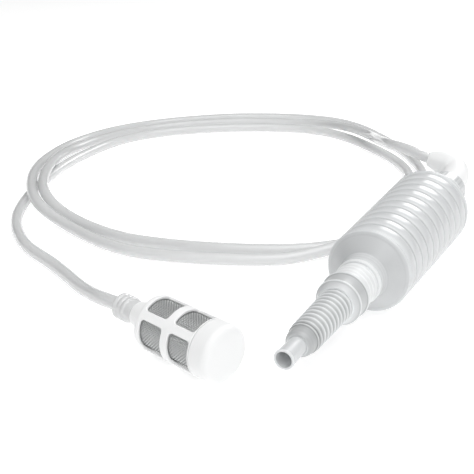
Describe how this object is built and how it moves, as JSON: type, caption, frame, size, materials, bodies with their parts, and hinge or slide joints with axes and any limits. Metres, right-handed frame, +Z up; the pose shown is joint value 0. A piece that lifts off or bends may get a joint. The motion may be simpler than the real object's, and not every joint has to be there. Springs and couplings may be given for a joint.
{
  "type": "hand siphon pump",
  "caption": "Hand-squeeze bellows siphon pump with check valves, ribbed outlet nozzle, inlet elbow, long clear hose and mesh intake strainer.",
  "frame": {"origin": "on the floor, at the middle of the pump's box without its hose and strainer", "axes": "+Y along the pump from its outlet mouth to its elbow, +Z up, +X to the right seen from the outlet end"},
  "size_m": [0.3966, 0.505, 0.0537],
  "materials": {
    "milky_plastic": "translucent milky blow-moulded plastic, satin",
    "smoky_plastic": "translucent grey moulded plastic, satin",
    "white_plastic": "white moulded plastic, satin",
    "clear_hose": "clear flexible PVC, glossy",
    "black_rubber": "moulded rubber, matte",
    "steel_mesh": "fine woven stainless wire"
  },
  "bodies": {
    "root": {"rear_shoulder": "milky_plastic", "bellows_folds": "milky_plastic", "inlet_gasket": "black_rubber", "inlet_valve_seat": "white_plastic", "inlet_valve_cage": "white_plastic", "elbow": "white_plastic", "hose": "clear_hose", "hose_sleeve": "clear_hose", "hose_connector": "white_plastic", "strainer_cage": "white_plastic", "strainer_mesh": "steel_mesh"},
    "front": {"front_shoulder": "milky_plastic", "threaded_neck": "white_plastic", "outlet_valve_seat": "white_plastic"},
    "nozzle": {"ribbed_nozzle": "smoky_plastic", "tip_tube": "milky_plastic", "outlet_gasket": "black_rubber", "outlet_valve_cage": "white_plastic"},
    "collar": {"outlet_collar": "smoky_plastic"},
    "outlet_disc": {"outlet_valve_disc": "black_rubber"},
    "inlet_disc": {"inlet_valve_disc": "black_rubber"},
    "nut": {"inlet_nut": "milky_plastic"},
    "cap": {"strainer_cap": "white_plastic"}
  },
  "joints": [
    {"name": "bellows_squeeze", "type": "slide", "parent": "root", "child": "front", "axis": [0, 1, 0], "range_m": [0, 0.05], "stiffness_N_per_m": 200, "deforming": ["bellows_folds"]},
    {"name": "nozzle_release", "type": "slide", "parent": "front", "child": "nozzle", "axis": [0, -1, 0], "range_m": [0, 0.0059]},
    {"name": "collar_turn", "type": "hinge", "parent": "nozzle", "child": "collar", "pos_m": [0, -0.0883, 0.02687], "axis": [0, -1, 0], "range_deg": [0, 540]},
    {"name": "outlet_valve_lift", "type": "slide", "parent": "front", "child": "outlet_disc", "axis": [0, -1, 0], "range_m": [0, 0.002]},
    {"name": "inlet_valve_lift", "type": "slide", "parent": "root", "child": "inlet_disc", "axis": [0, -1, 0], "range_m": [0, 0.002]},
    {"name": "nut_turn", "type": "hinge", "parent": "root", "child": "nut", "pos_m": [0, 0.1077, 0.02687], "axis": [0, 1, 0], "range_deg": [0, 540]},
    {"name": "cap_pull", "type": "slide", "parent": "root", "child": "cap", "axis": [0.9694, -0.2453, 0], "range_m": [0, 0.009]}
  ],
  "couplings": [
    {"joint": "nozzle_release", "follows": "collar_turn", "m_per_rad": 0.0006207}
  ]
}
